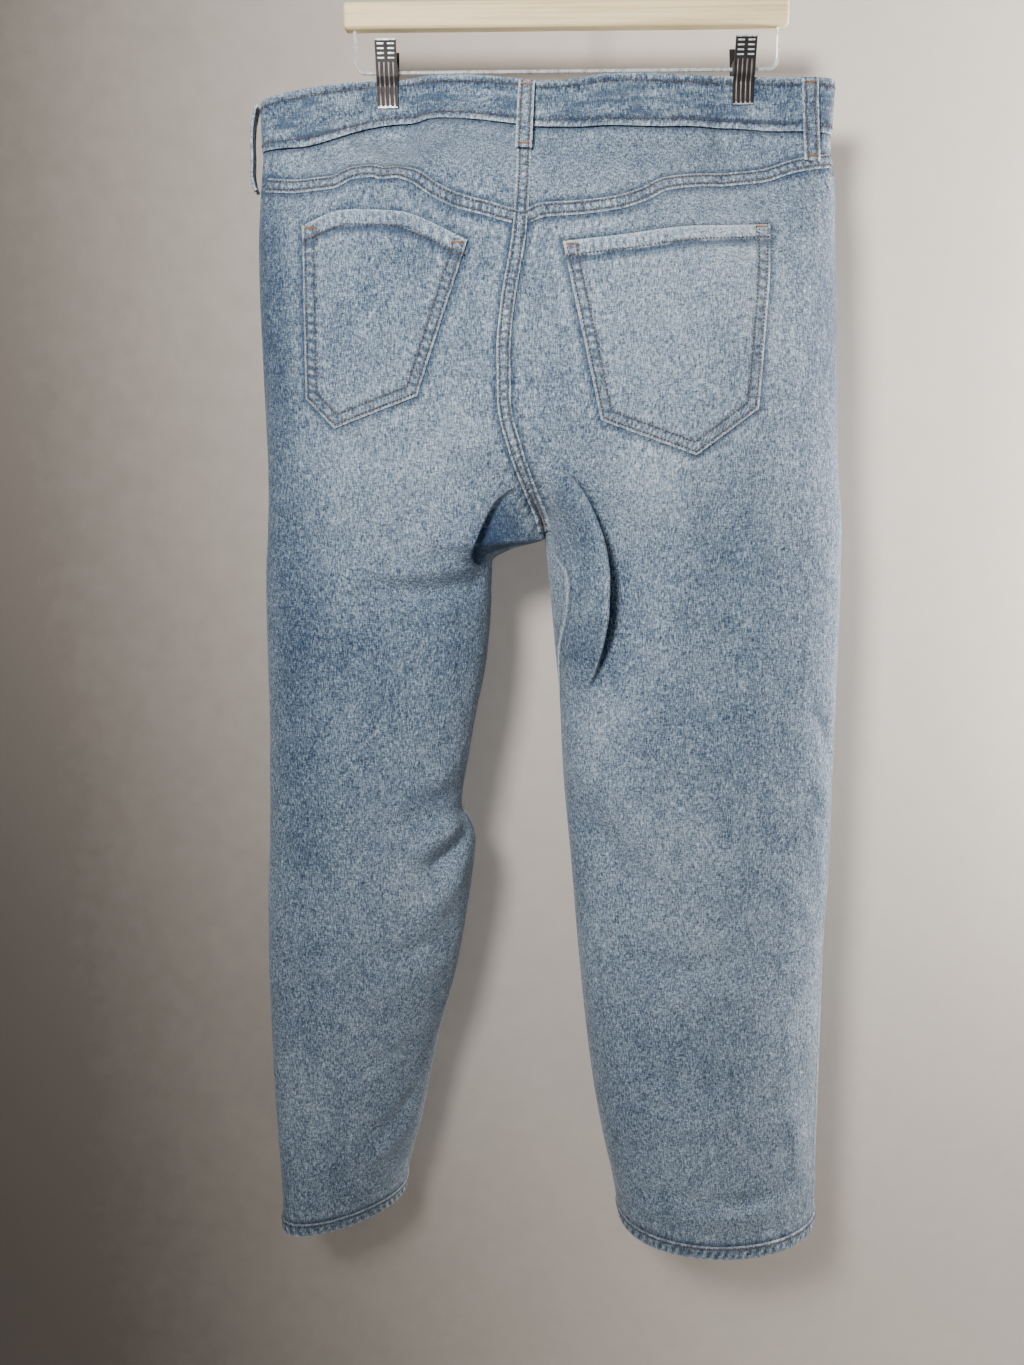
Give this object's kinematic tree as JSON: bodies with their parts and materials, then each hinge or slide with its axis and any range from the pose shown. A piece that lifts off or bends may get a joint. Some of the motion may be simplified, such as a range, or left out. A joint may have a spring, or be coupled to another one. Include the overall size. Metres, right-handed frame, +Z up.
{
  "type": "loose fit jeans on a wooden clip hanger",
  "caption": "Loose fit straight-leg jeans in pale washed denim, hung by the waistband from the clips of a wooden bar hanger, seen from the back.",
  "frame": {"origin": "where the hook rests on a rail: the inside top of its crook", "axes": "+Z up, -X the wearer's left, -Y out of the back of the jeans"},
  "size_m": [0.5179, 0.1531, 1.1556],
  "materials": {
    "denim": "washed blue denim",
    "zip_tape": "woven tape",
    "button_metal": "aged copper colour",
    "wood": "pale, clear coated",
    "bright_wire": "bright",
    "clip_metal": "dark bright metal"
  },
  "bodies": {
    "root": {"back_left": "denim", "back_right": "denim", "front_left": "denim", "front_right": "denim", "yoke_left": "denim", "yoke_right": "denim", "waistband": "denim", "pocket_back_left": "denim", "pocket_back_right": "denim", "pocket_facing_left": "denim", "pocket_facing_right": "denim", "coin_pocket": "denim", "fly": "denim", "seat_seam": "denim", "yoke_seam_left": "denim", "yoke_seam_right": "denim", "loop_back_centre": "denim", "loop_back_left": "denim", "loop_back_right": "denim", "loop_front_left": "denim", "loop_front_right": "denim", "hem_left": "denim", "hem_right": "denim", "zip": "zip_tape", "waist_button": "button_metal", "hanger_bar": "wood", "hanger_hook": "bright_wire", "hanger_wire": "bright_wire", "clip_left_spring": "bright_wire", "clip_right_spring": "bright_wire", "clip_left_jaw_back": "clip_metal", "clip_left_jaw_front": "clip_metal", "clip_right_jaw_back": "clip_metal", "clip_right_jaw_front": "clip_metal"}
  },
  "joints": []
}
